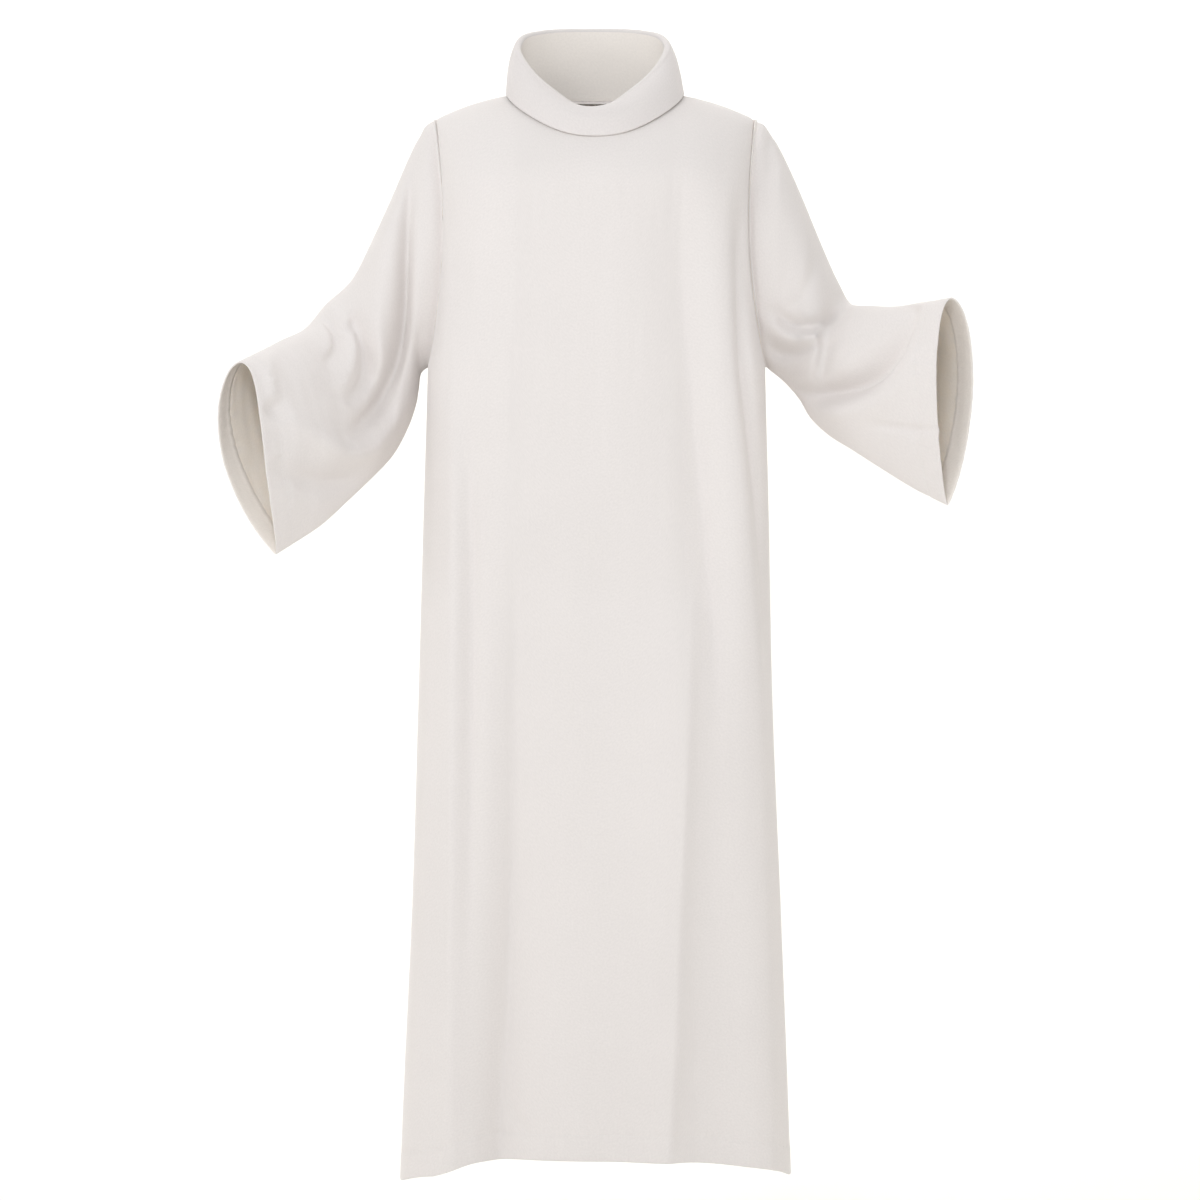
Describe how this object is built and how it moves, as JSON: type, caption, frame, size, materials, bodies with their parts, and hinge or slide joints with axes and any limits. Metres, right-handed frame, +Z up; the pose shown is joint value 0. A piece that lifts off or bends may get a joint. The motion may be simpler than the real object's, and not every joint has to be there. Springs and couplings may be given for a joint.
{
  "type": "alb robe",
  "caption": "Long off-white alb with set-in bell sleeves and a fold-over roll collar, in the hollow form it has when worn.",
  "frame": {"origin": "between the shoulders at the base of the neck, where the wearer's shoulders carry the garment", "axes": "+Z up along the body, -Y towards the front, +X towards the wearer's left"},
  "size_m": [1.0178, 0.3885, 1.6176],
  "materials": {
    "front_cloth": "matte",
    "back_cloth": "matte",
    "sleeve_left_cloth": "matte",
    "sleeve_right_cloth": "matte",
    "collar_cloth": "matte"
  },
  "bodies": {
    "root": {"front": "front_cloth", "back": "back_cloth", "sleeve_left": "sleeve_left_cloth", "sleeve_right": "sleeve_right_cloth", "collar": "collar_cloth"}
  },
  "joints": []
}
